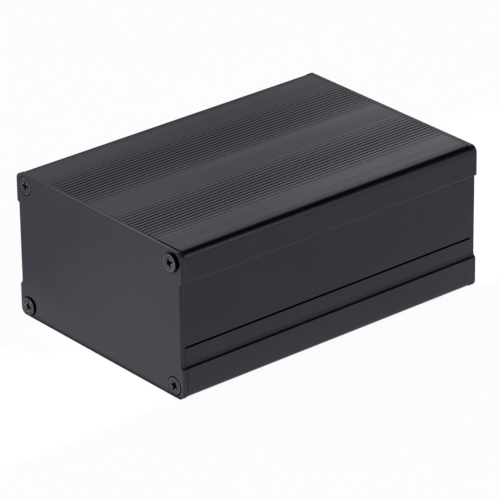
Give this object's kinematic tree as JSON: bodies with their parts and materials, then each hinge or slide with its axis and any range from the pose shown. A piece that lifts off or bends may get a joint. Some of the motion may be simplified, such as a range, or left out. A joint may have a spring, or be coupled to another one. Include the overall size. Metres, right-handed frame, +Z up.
{
  "type": "aluminium enclosure",
  "caption": "Black anodised extruded aluminium case for electronics: two interlocking shells with a grooved top, closed by flat end plates with countersunk corner screws.",
  "frame": {"origin": "middle of the flat underside, on the surface that the case stands on", "axes": "+Z up, +Y along the extrusion from the front plate to the rear plate, +X across the case"},
  "size_m": [0.0764, 0.1141, 0.0462],
  "materials": {
    "anodised_shell": "satin black anodised, drawn along the extrusion",
    "anodised_plate": "fine matt black anodised",
    "black_screw": "black oxide"
  },
  "bodies": {
    "root": {"upper_shell": "anodised_shell", "lower_shell": "anodised_shell", "front_plate": "anodised_plate", "rear_plate": "anodised_plate", "plate_screws": "black_screw"}
  },
  "joints": []
}
